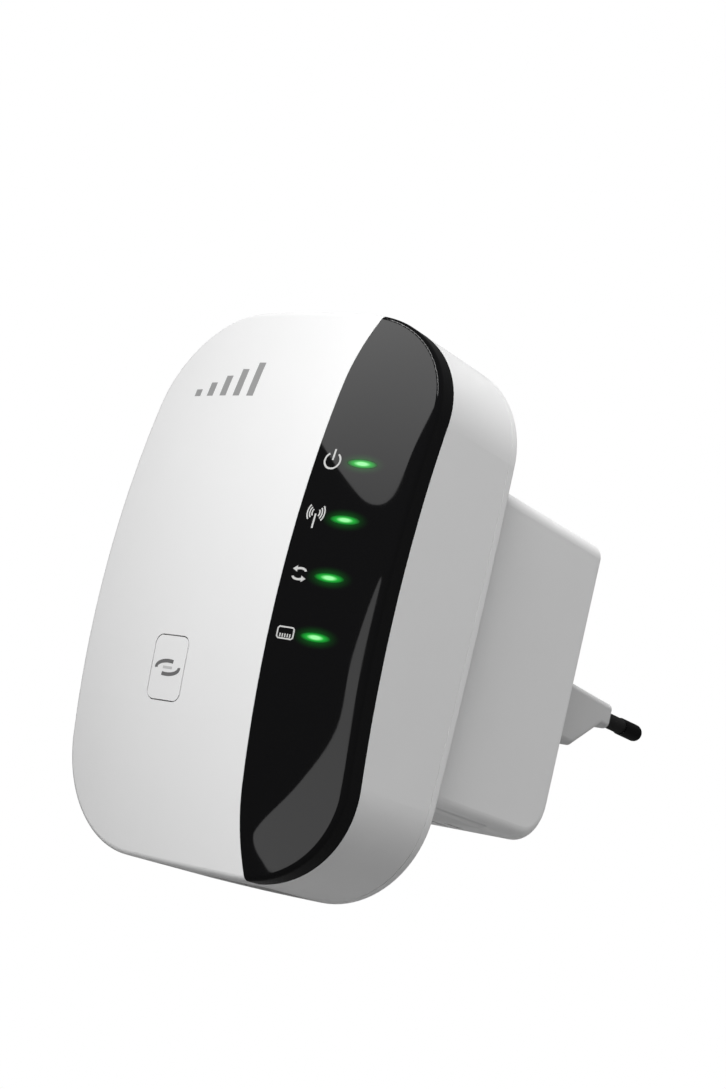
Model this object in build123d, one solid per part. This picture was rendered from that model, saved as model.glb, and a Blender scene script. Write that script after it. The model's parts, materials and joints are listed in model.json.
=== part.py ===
from build123d import *
import os

# Plug-in wireless range extender. Millimetres, drawn about the centre of its body:
# x across, y from the front crest towards the wall, z up. write() then moves every
# piece so that the origin is the centre of the plug's face, between its two pins.

# Body casing
BODY_WIDTH = 68.6
BODY_HEIGHT = 109.0
BODY_DEPTH = 36.5
SIDE_BOW = 0.8  # how far each side of the outline bulges at its middle
CORNER_RADIUS = 20.7
BULGE_RADIUS_X = 131.0  # front face across
BULGE_RADIUS_Z = 196.0  # front face from top to bottom
EDGE_RADIUS = 1.2  # rounding between the front face and the sides
INNER_EDGE_RADIUS = 0.5  # least rounding inside the casing
REAR_EDGE_RADIUS = 1.0
WALL = 2.4
SEAM_GAP = 0.15
PARTING_Y = 34.1  # where the front shell ends and the rear shell starts
LIP_DEPTH = 2.0
LIP_WALL = 1.3

# Glossy strip let into the front, right of centre
STRIP_LEFT = 13.4  # its left edge, straight in the middle and curving right at both ends
STRIP_STRAIGHT = 38.0  # half the height of the straight part
STRIP_END_RADIUS = 55.0
STRIP_END_ANGLE = 25.0  # far enough to pass the ends of the body
STRIP_THICKNESS = 1.2
STRIP_WRAP = 4.1  # how far it wraps around the edge, behind the front face
STRIP_GAP = 0.06

# Power housing, the box behind the body
BOX_WIDTH = 57.2
BOX_HEIGHT = 64.6
BOX_DEPTH = 48.3
BOX_Z = -0.3
BOX_WALL = 2.0
BOX_EDGE_RADIUS = 3.0
BOX_TOP_REAR_RADIUS = 3.0
BOX_LOW_REAR_RADIUS = 9.0
BOX_REAR_Y = BODY_DEPTH + BOX_DEPTH
PLATE_THICKNESS = 0.7  # rating plate, let into the underside
PLATE_REAR_Y = 64.0

# Plug, to the 2.5 A two-pin Euro pattern
FACE_Y = 128.5
PLUG_Z = 3.2
PIN_SPACING = 18.6
PIN_RADIUS = 2.0
PIN_LENGTH = 19.0
SLEEVE_RADIUS = 1.8
SLEEVE_LENGTH = 10.0
NECK_RADIUS = 1.4
COLLAR_RADIUS = 2.2
NOSE_BASE_HALF = 18.3  # half width where the nose starts, inside the housing
NOSE_FACE_HALF = 12.4
NOSE_TOP = 3.1  # above the pins' axis
NOSE_FACE_BOTTOM = -2.7
NOSE_BASE_BOTTOM = -10.1
NOSE_TAPER = 17.4  # length over which its underside slopes up to the face
NOSE_FLAT = 4.6  # flat length of its underside next to the face
NOSE_START_Y = BOX_REAR_Y - 10.0
NOSE_ROUNDING = 1.4
NOSE_WALL = 2.0
NOSE_SOLID = 12.5  # solid length behind the face, which holds the pins

# Main board
BOARD_Y = 17.0  # its front side
BOARD_THICKNESS = 1.6
BOARD_BACK = BOARD_Y + BOARD_THICKNESS
BOARD_WIDTH = 58.0
BOARD_TOP = 47.0
BOARD_BOTTOM = -49.5
BOARD_CORNER = 14.0
CASE_SCREW_PLACES = [(x, z) for x in (-20.0, 20.0) for z in (-42.5, 42.5)]
BOARD_SCREW_PLACES = [(-24.0, 22.0), (-24.0, -26.0), (22.5, -24.0)]
HOUSING_SCREW_PLACES = [(x, z + BOX_Z) for x in (-24.2, 24.2) for z in (-26.5, 26.5)]

# Fasteners and what holds them
SCREW_RADIUS = 1.3  # case and housing screws, which cut into holes of their own size
SCREW_HEAD_RADIUS = 2.7
SCREW_CLEARANCE_RADIUS = 1.5
SCREW_WELL_RADIUS = 2.9
POST_RADIUS = 3.0
POST_END_Y = 30.9
WELL_BOSS_RADIUS = 4.2
CASE_SCREW_HEAD_Y = 35.2
BOARD_SCREW_RADIUS = 0.9
BOARD_POST_RADIUS = 2.6

# Cooling slots
TOP_SLOT_PITCH = 3.6
TOP_SLOT_Y = 22.0
REAR_SLOT_PITCH = 4.0
REAR_SLOT_Z = 42.0
LOW_SLOT_PITCH = 4.0
LOW_SLOT_Y = 70.0

# Indicators, one above the other on the strip
LAMP_X = 23.2
LAMP_TOP_Z = 23.3
LAMP_PITCH = 11.05
LAMP_NAMES = ["power", "wireless", "link", "lan"]
LAMP_HALF_WIDTH = 3.0
LAMP_HALF_HEIGHT = 0.85
LAMP_GAP = 0.05

# Pairing key
KEY_X = -8.4
KEY_Z = -19.3
KEY_WIDTH = 8.4
KEY_HEIGHT = 12.0
KEY_CORNER = 1.6
KEY_GAP = 0.22
KEY_FLANGE_Y = 8.2
KEY_FLANGE = 1.0
SWITCH_SIZE = 6.0
SWITCH_HEIGHT = 3.5
SWITCH_BUTTON_RADIUS = 1.7
SWITCH_BUTTON_HEIGHT = 1.2
TOUCH_GAP = 0.03

# Network socket and reset switch, both at the bottom edge
JACK_X = 6.0
JACK_WIDTH = 16.0
JACK_HEIGHT = 13.2  # off the board
JACK_DEPTH = 18.0
JACK_MOUTH_Z = -53.7
RESET_X = -12.0
RESET_Y = BOARD_BACK + 2.0
RESET_HOLE_RADIUS = 0.9

# Power board, flat in the power housing
MAINS_Z = -24.0  # its upper side
MAINS_THICKNESS = 1.6
MAINS_WIDTH = 52.0
MAINS_FRONT_Y = 39.0
MAINS_REAR_Y = 80.5

# Low-voltage lead between the two boards
LINK_X = -16.0
LINK_HEADER_Z = -16.0
LINK_WIRE_PLACES = [LINK_X - 1.25, LINK_X + 1.25]

FAR = 70.0  # beyond the outside of the body, across and up
ORIGIN = Vector(0, FACE_Y, PLUG_Z)


def write(node, shape):
    """Move a finished piece into the part's own frame and save it."""
    export_step(Pos(*(-ORIGIN)) * shape, f"parts/{node}.step")


def deep(profile, y_front, y_back):
    """Stand a flat profile upright (its y becomes z) and extrude it from y_front to y_back."""
    upright = Plane((0, y_front, 0), x_dir=(1, 0, 0), z_dir=(0, -1, 0))
    return extrude(upright * profile, amount=y_front - y_back)


def block(x0, x1, y0, y1, z0, z1):
    return Pos((x0 + x1) / 2, (y0 + y1) / 2, (z0 + z1) / 2) * Box(x1 - x0, y1 - y0, z1 - z0)


def rod_y(radius, y0, y1, x=0.0, z=0.0):
    return deep(Pos(x, z) * Circle(radius), y0, y1)


def rod_z(radius, z0, z1, x, y):
    return Pos(x, y, (z0 + z1) / 2) * Cylinder(radius, z1 - z0)


def rod_x(radius, x0, x1, y, z):
    return Pos((x0 + x1) / 2, y, z) * Rot(0, 90, 0) * Cylinder(radius, x1 - x0)


def group(solids):
    return Compound(children=list(solids))


# ---------------------------------------------------------------- casing forms


def body_outline(inset):
    """Rounded outline whose four sides are slightly bowed."""
    half_w = BODY_WIDTH / 2 - inset
    half_h = BODY_HEIGHT / 2 - inset
    corner_w = half_w - SIDE_BOW
    corner_h = half_h - SIDE_BOW
    sides = [
        ThreePointArc((-corner_w, -corner_h), (0, -half_h), (corner_w, -corner_h)),
        ThreePointArc((corner_w, -corner_h), (half_w, 0), (corner_w, corner_h)),
        ThreePointArc((corner_w, corner_h), (0, half_h), (-corner_w, corner_h)),
        ThreePointArc((-corner_w, corner_h), (-half_w, 0), (-corner_w, -corner_h)),
    ]
    sharp = make_face(sides)
    return fillet(sharp.vertices(), CORNER_RADIUS - inset)


def barrel(inset):
    """Everything behind the front face, which curves both ways, set back by inset."""
    reach = 60.0
    radius = BULGE_RADIUS_X - inset
    arc_y = BULGE_RADIUS_X - (radius**2 - reach**2) ** 0.5
    profile = [
        ThreePointArc((-reach, arc_y), (0, inset), (reach, arc_y)),
        Polyline((reach, arc_y), (reach, BULGE_RADIUS_Z), (-reach, BULGE_RADIUS_Z), (-reach, arc_y)),
    ]
    axis = Axis((0, BULGE_RADIUS_Z, 0), (1, 0, 0))
    return revolve(make_face(profile), axis, 360)


def body_form(inset, y_back):
    """The body as one solid, set in by inset from its outside, as far back as y_back."""
    solid = deep(body_outline(inset), -1, y_back) & barrel(inset)
    front_edges = [e for e in solid.edges() if e.bounding_box().max.Y < y_back - 1]
    return fillet(front_edges, max(EDGE_RADIUS - inset, INNER_EDGE_RADIUS))


def key_profile(grow):
    """Outline of the pairing key, grown on every side."""
    size = RectangleRounded(KEY_WIDTH + 2 * grow, KEY_HEIGHT + 2 * grow, KEY_CORNER + grow)
    return Pos(KEY_X, KEY_Z) * size


def lamp_height(index):
    return LAMP_TOP_Z - index * LAMP_PITCH


def lamp_profile(index, grow):
    size = Ellipse(LAMP_HALF_WIDTH + grow, LAMP_HALF_HEIGHT + grow)
    return Pos(LAMP_X, lamp_height(index)) * size


def strip_zone(grow):
    """Space the glossy strip is let into: right of its left edge, ahead of where its wrap ends."""
    left = STRIP_LEFT - grow
    edge = []
    for angle in (0, STRIP_END_ANGLE / 2, STRIP_END_ANGLE):
        step = Vector(STRIP_END_RADIUS, 0).rotate(Axis.Z, 180 - angle)
        edge.append((left + STRIP_END_RADIUS + step.X, STRIP_STRAIGHT + step.Y))
    lower = [(x, -z) for x, z in edge]
    outline = make_face([
        Line(lower[0], edge[0]),
        ThreePointArc(*edge),
        Polyline(edge[-1], (FAR, edge[-1][1]), (FAR, lower[-1][1]), lower[-1]),
        ThreePointArc(*lower),
    ])
    return deep(outline, -5, BODY_DEPTH) - barrel(STRIP_WRAP + grow)


# ---------------------------------------------------------------- casing pieces


def front_shell(outer):
    inner = body_form(WALL, PARTING_Y + 1)
    shell = outer & block(-FAR, FAR, -5, PARTING_Y - SEAM_GAP, -FAR, FAR)
    shell = shell - inner
    skin = outer - body_form(STRIP_THICKNESS + STRIP_GAP, BODY_DEPTH + 1)
    shell = shell - (skin & strip_zone(STRIP_GAP))
    # posts for the case screws, with pilot holes, and short posts for the main board
    for x, z in CASE_SCREW_PLACES:
        shell += rod_y(POST_RADIUS, 3.0, POST_END_Y, x, z) & inner
    for x, z in BOARD_SCREW_PLACES:
        shell += rod_y(BOARD_POST_RADIUS, 2.0, BOARD_Y, x, z) & inner
    # guide sleeve around the pairing key, and a sleeve for each light pipe
    sleeve = deep(key_profile(KEY_GAP + 1.0), 1.0, KEY_FLANGE_Y - 0.05)
    shell += sleeve & inner
    for index in range(len(LAMP_NAMES)):
        shell += deep(lamp_profile(index, 1.1), 2.0, 8.0) & inner
    cuts = [deep(key_profile(KEY_GAP), -5, KEY_FLANGE_Y)]
    cuts += [deep(lamp_profile(i, LAMP_GAP), -5, 9.0) for i in range(len(LAMP_NAMES))]
    cuts += [rod_y(SCREW_RADIUS, 20.0, POST_END_Y + 1, x, z) for x, z in CASE_SCREW_PLACES]
    cuts += [rod_y(BOARD_SCREW_RADIUS, 9.0, BOARD_Y + 1, x, z) for x, z in BOARD_SCREW_PLACES]
    # mouth for the network socket, and the reset pinhole
    x0, x1, y0, y1 = jack_box(0.2)
    cuts.append(block(x0, x1, y0, y1, -FAR, -45))
    cuts.append(rod_z(RESET_HOLE_RADIUS, -FAR, -45, RESET_X, RESET_Y))
    # cooling slots along the top
    cuts += [top_slot(x) for x in slot_places(9, TOP_SLOT_PITCH)]
    for cut in cuts:
        shell -= cut
    return shell


def slot_places(count, pitch):
    return [(i - (count - 1) / 2) * pitch for i in range(count)]


def top_slot(x):
    """One cooling slot through the body's top wall."""
    slot = Plane.XY.offset(45) * Pos(x, TOP_SLOT_Y) * SlotOverall(12.0, 1.4, rotation=90)
    return extrude(slot, amount=20)


def accent_strip(outer):
    strip = outer - body_form(STRIP_THICKNESS, BODY_DEPTH + 1)
    strip = strip & strip_zone(0)
    for index in range(len(LAMP_NAMES)):
        strip -= deep(lamp_profile(index, LAMP_GAP), -5, 9.0)
    return strip


def rear_shell(outer):
    plate = outer & block(-FAR, FAR, PARTING_Y, BODY_DEPTH, -FAR, FAR)
    rim = [e for e in plate.edges() if e.bounding_box().min.Y > BODY_DEPTH - 0.01]
    plate = fillet(rim, REAR_EDGE_RADIUS)
    lip = deep(body_outline(WALL + SEAM_GAP), PARTING_Y - LIP_DEPTH, PARTING_Y)
    lip -= deep(body_outline(WALL + SEAM_GAP + LIP_WALL), PARTING_Y - LIP_DEPTH - 1, PARTING_Y + 1)
    plate += lip
    for x, z in CASE_SCREW_PLACES:
        plate += rod_y(WELL_BOSS_RADIUS, POST_END_Y + 0.1, PARTING_Y, x, z)
    for x, z in CASE_SCREW_PLACES:
        plate -= rod_y(SCREW_WELL_RADIUS, CASE_SCREW_HEAD_Y - 2.0, BODY_DEPTH + 1, x, z)
        plate -= rod_y(SCREW_CLEARANCE_RADIUS, POST_END_Y, BODY_DEPTH, x, z)
    # window that joins the inside of the body to the power housing
    plate -= deep(Pos(0, BOX_Z) * RectangleRounded(38.0, 44.0, 4.0), POST_END_Y, BODY_DEPTH + 1)
    for x, z in HOUSING_SCREW_PLACES:
        plate -= rod_y(SCREW_CLEARANCE_RADIUS, POST_END_Y, BODY_DEPTH + 1, x, z)
    # cooling slots above the power housing
    for x in slot_places(5, REAR_SLOT_PITCH):
        plate -= deep(Pos(x, REAR_SLOT_Z) * SlotOverall(9.0, 1.6, rotation=90), POST_END_Y, BODY_DEPTH + 1)
    return plate


def box_form(inset, y_front):
    """Power housing as one solid, set in by inset, with its edges rounded."""
    top = BOX_Z + BOX_HEIGHT / 2 - inset
    low = BOX_Z - BOX_HEIGHT / 2 + inset
    rear = BOX_REAR_Y - inset
    side = make_face(Polyline((y_front, low), (rear, low), (rear, top), (y_front, top), close=True))
    corners = side.vertices().sort_by(Axis.X)[-2:].sort_by(Axis.Y)
    side = fillet(corners[0], BOX_LOW_REAR_RADIUS - inset)
    upper = side.vertices().filter_by(lambda v: v.X > rear - 0.01).sort_by(Axis.Y)[-1]
    side = fillet(upper, BOX_TOP_REAR_RADIUS - inset / 2)
    half = BOX_WIDTH / 2 - inset
    across = Plane((-half, 0, 0), x_dir=(0, 1, 0), z_dir=(1, 0, 0))
    solid = extrude(across * side, amount=2 * half)
    rounded = max(BOX_EDGE_RADIUS - inset, 0.8)
    long_edges = [e for e in solid.edges() if abs(abs(e.center().X) - half) < 0.01]
    long_edges = [e for e in long_edges if e.bounding_box().max.Y > y_front + 0.01]
    return fillet(long_edges, rounded)


def power_housing():
    outer = box_form(0, BODY_DEPTH)
    inner = box_form(BOX_WALL, BODY_DEPTH - 1)
    shell = outer - inner
    for x, z in HOUSING_SCREW_PLACES:
        shell += rod_y(3.2, BODY_DEPTH, 50.0, x, z) & outer
    # rails that hold the power board along both sides
    for side in (-1, 1):
        for low, high in ((-4.4, -MAINS_THICKNESS - 0.1), (0.1, 1.8)):
            edge = side * (BOX_WIDTH / 2 - BOX_WALL)
            x0, x1 = sorted((edge, edge - side * 2.6))
            rail = block(x0 - 0.5, x1 + 0.5, 52.0, BOX_REAR_Y - 8, MAINS_Z + low, MAINS_Z + high)
            shell += rail & outer
    for x, z in HOUSING_SCREW_PLACES:
        shell -= rod_y(SCREW_RADIUS, BODY_DEPTH - 1, 48.0, x, z)
    shell -= nose_form(0.12, NOSE_ROUNDING, BOX_REAR_Y - BOX_WALL - 1, BOX_REAR_Y + 1)
    shell -= plate_recess(0.12)
    for x in slot_places(9, LOW_SLOT_PITCH):
        shell -= bottom_slot(x)
    return shell


def plate_recess(grow):
    """Full-width step in the housing's underside, in which the rating plate sits."""
    low = BOX_Z - BOX_HEIGHT / 2
    return block(-40, 40, BODY_DEPTH - 1, PLATE_REAR_Y + grow, low - 5, low + PLATE_THICKNESS + grow / 2)


def rating_plate():
    low = BOX_Z - BOX_HEIGHT / 2
    reach = block(-40, 40, BODY_DEPTH + 0.2, PLATE_REAR_Y, low - 5, low + PLATE_THICKNESS)
    return box_form(0, BODY_DEPTH) & reach


def bottom_slot(x):
    """One cooling slot through the housing's underside, behind the rating plate."""
    low = BOX_Z - BOX_HEIGHT / 2
    slot = Plane.XY.offset(low - 2) * Pos(x, LOW_SLOT_Y) * SlotOverall(7.0, 1.5, rotation=90)
    return extrude(slot, amount=5)


# ---------------------------------------------------------------- plug


def nose_edges(solid, z_low, z_high):
    """Edges that run along the nose's sides, with their middles between two heights."""
    edges = [e for e in solid.edges() if abs(e.center().X) > 8 and e.bounding_box().size.Y > 4]
    return [e for e in edges if z_low < e.center().Z < z_high and e.center().Y < FACE_Y - 0.1]


def nose_form(grow, rounding, y0, y1):
    """Plug nose between two depths: flat on top, its underside sloping up towards the face."""
    slope_y = FACE_Y - NOSE_TAPER
    top = PLUG_Z + NOSE_TOP + grow
    base_bottom = PLUG_Z + NOSE_BASE_BOTTOM - grow
    face_bottom = PLUG_Z + NOSE_FACE_BOTTOM - grow
    side = make_face(Polyline(
        (NOSE_START_Y, top), (FACE_Y, top), (FACE_Y, face_bottom), (FACE_Y - NOSE_FLAT, face_bottom),
        (slope_y, base_bottom), (NOSE_START_Y, base_bottom), close=True,
    ))
    across = Plane((-30, 0, 0), x_dir=(0, 1, 0), z_dir=(1, 0, 0))
    base = NOSE_BASE_HALF + grow
    face = NOSE_FACE_HALF + grow
    plan = make_face(Polyline(
        (-face, FACE_Y), (face, FACE_Y), (base, NOSE_START_Y), (-base, NOSE_START_Y), close=True,
    ))
    solid = extrude(across * side, amount=60) & extrude(Plane.XY.offset(-30) * plan, amount=60)
    solid = fillet(nose_edges(solid, top - 0.1, top + 0.1), rounding)
    solid = fillet(nose_edges(solid, base_bottom - 1, PLUG_Z - 0.5), rounding)
    return solid & block(-40, 40, y0, y1, -40, 40)


def plug_nose():
    nose = nose_form(0, NOSE_ROUNDING, BOX_REAR_Y - BOX_WALL - 2.0, FACE_Y)
    rim = [e for e in nose.edges() if e.bounding_box().min.Y > FACE_Y - 0.01]
    nose = fillet(rim, 0.6)
    flange = deep(Pos(0, PLUG_Z - 3.5) * RectangleRounded(42.0, 22.0, 3.0),
                  BOX_REAR_Y - BOX_WALL - 2.0, BOX_REAR_Y - BOX_WALL)
    nose = nose + flange
    inside = block(-13.8, 13.8, 70, FACE_Y - NOSE_SOLID, PLUG_Z - 7.8, PLUG_Z + 1.1)
    taper = nose_form(-NOSE_WALL, 0.4, 70, FACE_Y - NOSE_SOLID)
    nose = nose - (inside & taper)
    for x in pin_places():
        nose -= rod_y(SLEEVE_RADIUS, FACE_Y - 3.0, FACE_Y + 1, x, PLUG_Z)
        nose -= rod_y(NECK_RADIUS, FACE_Y - NOSE_SOLID - 1, FACE_Y - 2, x, PLUG_Z)
        nose -= rod_y(COLLAR_RADIUS + 0.05, FACE_Y - NOSE_SOLID - 5, FACE_Y - NOSE_SOLID, x, PLUG_Z)
    return nose


def pin_places():
    return [-PIN_SPACING / 2, PIN_SPACING / 2]


def plug_pin(x):
    """Solid pin: a bare round-ended tip, and a thinner neck under the sleeve and in the nose."""
    tip_y = FACE_Y + PIN_LENGTH
    tip = rod_y(PIN_RADIUS, FACE_Y + SLEEVE_LENGTH, tip_y - PIN_RADIUS, x, PLUG_Z)
    tip += Pos(x, tip_y - PIN_RADIUS, PLUG_Z) * Sphere(PIN_RADIUS)
    neck = rod_y(NECK_RADIUS, FACE_Y - NOSE_SOLID - 4.0, FACE_Y + SLEEVE_LENGTH, x, PLUG_Z)
    collar = rod_y(COLLAR_RADIUS, FACE_Y - NOSE_SOLID - 1.2, FACE_Y - NOSE_SOLID, x, PLUG_Z)
    return tip + neck + collar


def pin_sleeve(x):
    sleeve = rod_y(SLEEVE_RADIUS, FACE_Y - 3.0, FACE_Y + SLEEVE_LENGTH, x, PLUG_Z)
    return sleeve - rod_y(NECK_RADIUS, FACE_Y - 4.0, FACE_Y + SLEEVE_LENGTH + 1, x, PLUG_Z)


def mains_lead(x):
    """Insulated lead from a pin's inner end, forwards and down to the power board."""
    side = 1 if x > 0 else -1
    end_y = FACE_Y - NOSE_SOLID - 4.0
    route = FilletPolyline(
        (x, end_y, PLUG_Z), (x, 96.0, PLUG_Z), (side * 12.5, 78.0, PLUG_Z - 5.0),
        (side * 14.5, 76.0, MAINS_Z + 9.0), (side * 14.5, 76.0, MAINS_Z), radius=3.0,
    )
    return sweep(Plane(route @ 0, z_dir=route % 0) * Circle(0.9), path=route)


# ---------------------------------------------------------------- pairing key and switches


def wps_button(outer):
    """Key cap flush with the front, with a flange behind the guide sleeve and a stem to the switch."""
    cap = deep(key_profile(0), -5, KEY_FLANGE_Y) & outer
    flange = deep(key_profile(0.9), KEY_FLANGE_Y, KEY_FLANGE_Y + KEY_FLANGE)
    stem_end = BOARD_Y - SWITCH_HEIGHT - SWITCH_BUTTON_HEIGHT - TOUCH_GAP
    stem = rod_y(1.6, KEY_FLANGE_Y, stem_end, KEY_X, KEY_Z)
    return cap + flange + stem


def switch_base():
    half = SWITCH_SIZE / 2
    front = BOARD_Y - SWITCH_HEIGHT
    base = block(KEY_X - half, KEY_X + half, front, BOARD_Y, KEY_Z - half, KEY_Z + half)
    base = fillet(base.edges().filter_by(Axis.Y), 0.4)
    return base - rod_y(SWITCH_BUTTON_RADIUS + 0.05, front - 1, front + 1.6, KEY_X, KEY_Z)


def switch_plunger():
    front = BOARD_Y - SWITCH_HEIGHT
    return rod_y(SWITCH_BUTTON_RADIUS, front - SWITCH_BUTTON_HEIGHT, front + 1.2, KEY_X, KEY_Z)


RESET_BODY_Z = -50.9  # lower side of the reset switch's body


def reset_base():
    base = block(RESET_X - 3, RESET_X + 3, BOARD_BACK, BOARD_BACK + 4, RESET_BODY_Z, RESET_BODY_Z + 3.5)
    return base - rod_z(1.05, RESET_BODY_Z - 1, RESET_BODY_Z + 1.4, RESET_X, RESET_Y)


def reset_plunger():
    return rod_z(1.0, RESET_BODY_Z - 0.9, RESET_BODY_Z + 1.1, RESET_X, RESET_Y)


# ---------------------------------------------------------------- indicators


def lamp(index):
    """Small surface-mounted lamp on the main board, behind its light pipe."""
    z = lamp_height(index)
    base = block(LAMP_X - 1.0, LAMP_X + 1.0, BOARD_Y - 0.3, BOARD_Y, z - 0.65, z + 0.65)
    lens = block(LAMP_X - 0.6, LAMP_X + 0.6, BOARD_Y - 0.8, BOARD_Y - 0.3, z - 0.6, z + 0.6)
    return base + lens


def light_pipe(index, outer):
    """Clear pipe from just in front of a lamp to the strip's face, with a shoulder behind its sleeve."""
    pipe = deep(lamp_profile(index, 0), -5, BOARD_Y - 1.0) & outer
    shoulder = deep(lamp_profile(index, 0.5), 9.2, 10.4)
    return pipe + shoulder


# ---------------------------------------------------------------- main board


def main_board():
    board = deep(
        Pos(0, (BOARD_TOP + BOARD_BOTTOM) / 2)
        * RectangleRounded(BOARD_WIDTH, BOARD_TOP - BOARD_BOTTOM, BOARD_CORNER),
        BOARD_Y, BOARD_BACK,
    )
    for x, z in CASE_SCREW_PLACES:
        board -= rod_y(3.3, BOARD_Y - 1, BOARD_BACK + 1, x, z)
    for x, z in BOARD_SCREW_PLACES:
        board -= rod_y(1.2, BOARD_Y - 1, BOARD_BACK + 1, x, z)
    return board


def chip(x, z, width, height, thick, behind):
    """Square-edged package on the main board, on its front side or behind it."""
    y0, y1 = (BOARD_BACK, BOARD_BACK + thick) if behind else (BOARD_Y - thick, BOARD_Y)
    body = block(x - width / 2, x + width / 2, y0, y1, z - height / 2, z + height / 2)
    return chamfer(body.edges().filter_by(Axis.Y), 0.25)


def legged_chip(x, z, width, height, thick, pins, behind):
    """Package with a row of gull-wing legs down its left and right sides."""
    solids = [chip(x, z, width, height, thick, behind)]
    y0, y1 = (BOARD_BACK, BOARD_BACK + 0.3) if behind else (BOARD_Y - 0.3, BOARD_Y)
    pitch = (height - 0.8) / (pins - 1)
    for side in (-1, 1):
        inner = x + side * width / 2
        x0, x1 = sorted((inner, inner + side * 1.0))
        for leg in range(pins):
            leg_z = z - height / 2 + 0.4 + leg * pitch
            solids.append(block(x0, x1, y0, y1, leg_z - 0.2, leg_z + 0.2))
    return group(solids)


def rf_shield():
    """Folded tin lid over the radio, closed on five sides."""
    lid = block(-19, 5, BOARD_Y - 2.8, BOARD_Y, 0, 24)
    lid = fillet(lid.edges().filter_by(Axis.Y), 0.8)
    return lid - block(-18.8, 4.8, BOARD_Y - 2.6, BOARD_Y + 1, 0.2, 23.8)


def antenna(side):
    """Stamped inverted-F antenna: a bar held off the board on a feed leg and a ground leg."""
    x0, x1 = sorted((side * 3.0, side * 23.0))
    shape = block(x0, x1, BOARD_Y - 7.5, BOARD_Y - 7.0, 31.0, 35.0)
    for at in (3.0, 7.0):
        x0, x1 = sorted((side * at, side * (at + 1.4)))
        shape += block(x0, x1, BOARD_Y - 7.2, BOARD_Y, 31.0, 31.5)
    return shape


def can_capacitor(x, z):
    """Upright electrolytic can on the main board's rear, with a groove near its foot."""
    radius = 3.15
    can = rod_y(radius, BOARD_BACK, BOARD_BACK + 7.7, x, z)
    can = fillet(can.edges(), 0.4)
    ring = rod_y(radius + 1, BOARD_BACK + 1.1, BOARD_BACK + 1.7, x, z)
    ring -= rod_y(radius - 0.25, BOARD_BACK + 1.0, BOARD_BACK + 1.8, x, z)
    return can - ring


def power_inductor():
    core = block(11, 17, BOARD_BACK, BOARD_BACK + 3.0, -14, -8)
    return fillet(core.edges().filter_by(Axis.Y), 1.2)


def jack_box(grow):
    """Low and high x, then low and high y, of the network socket, grown on every side."""
    half = JACK_WIDTH / 2 + grow
    return JACK_X - half, JACK_X + half, BOARD_BACK - grow, BOARD_BACK + JACK_HEIGHT + grow


def jack_mouth(grow, z_top):
    """Opening of the socket: a wide slot for the plug and a stepped channel for its latch."""
    mid = BOARD_BACK + JACK_HEIGHT / 2
    low = JACK_MOUTH_Z - 1
    wide = block(JACK_X - 5.9 - grow, JACK_X + 5.9 + grow, mid - 3.4, mid + 3.4 + grow, low, z_top)
    latch = block(JACK_X - 3.1 - grow, JACK_X + 3.1 + grow, mid - 5.2, mid, low, z_top)
    return wide + latch


def rj45_shield():
    """Folded metal can around the socket, open at the mouth."""
    x0, x1, y0, y1 = jack_box(0)
    can = block(x0, x1, y0, y1, JACK_MOUTH_Z, JACK_MOUTH_Z + JACK_DEPTH)
    can -= block(x0 + 0.3, x1 - 0.3, y0 - 1, y1 - 0.3, JACK_MOUTH_Z + 0.4, JACK_MOUTH_Z + JACK_DEPTH - 0.3)
    return can - jack_mouth(0.3, JACK_MOUTH_Z + 1)


def rj45_body():
    x0, x1, y0, y1 = jack_box(0)
    body = block(x0 + 0.3, x1 - 0.3, y0, y1 - 0.3, JACK_MOUTH_Z + 0.4, JACK_MOUTH_Z + JACK_DEPTH - 0.3)
    return body - jack_mouth(0, JACK_MOUTH_Z + 14.0)


def rj45_contacts():
    """Eight gold spring wires across the socket, opposite the latch channel."""
    roof = BOARD_BACK + JACK_HEIGHT / 2 + 3.4
    low = JACK_MOUTH_Z + 5.0
    wires = []
    for place in slot_places(8, 1.02):
        x = JACK_X + place
        slope = make_face(Polyline(
            (roof, low), (roof, low + 0.4), (roof - 2.0, low + 7.4), (roof - 2.4, low + 7.4),
            (roof - 0.4, low), close=True,
        ))
        across = Plane((x - 0.2, 0, 0), x_dir=(0, 1, 0), z_dir=(1, 0, 0))
        wires.append(extrude(across * slope, amount=0.4))
    return group(wires)


# ---------------------------------------------------------------- power board


def mains_board():
    half = MAINS_WIDTH / 2
    board = block(-half, half, MAINS_FRONT_Y, MAINS_REAR_Y, MAINS_Z - MAINS_THICKNESS, MAINS_Z)
    board = fillet(board.edges().filter_by(Axis.Z)[-2:], 0.8)
    # the front corners are cut away around the housing's screw bosses
    for side in (-1, 1):
        x0, x1 = sorted((side * 19.0, side * 40.0))
        board -= block(x0, x1, MAINS_FRONT_Y - 1, 51.0, MAINS_Z - 3, MAINS_Z + 1)
    return board


def on_board(x0, x1, y0, y1, height):
    """Block standing on the power board."""
    return block(x0, x1, y0, y1, MAINS_Z, MAINS_Z + height)


def transformer_core():
    """Two E-shaped halves: outer limbs and yokes around the winding, and a middle limb through it."""
    core = on_board(-10, 10, 50.0, 66.0, 18.0)
    window = on_board(-7, 7, 49.0, 67.0, 14.5) & block(-20, 20, 49, 67, MAINS_Z + 3.5, MAINS_Z + 30)
    core -= window
    return core + block(-2.4, 2.4, 50.0, 66.0, MAINS_Z + 3.5, MAINS_Z + 14.5)


def transformer_winding():
    """Taped winding around the middle limb, wider than the core from front to back."""
    coil = block(-6.8, 6.8, 47.0, 69.0, MAINS_Z + 3.7, MAINS_Z + 14.3)
    coil = fillet(coil.edges().filter_by(Axis.Z), 2.0)
    return coil - block(-2.5, 2.5, 49.9, 66.1, MAINS_Z + 3.4, MAINS_Z + 14.6)


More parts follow.
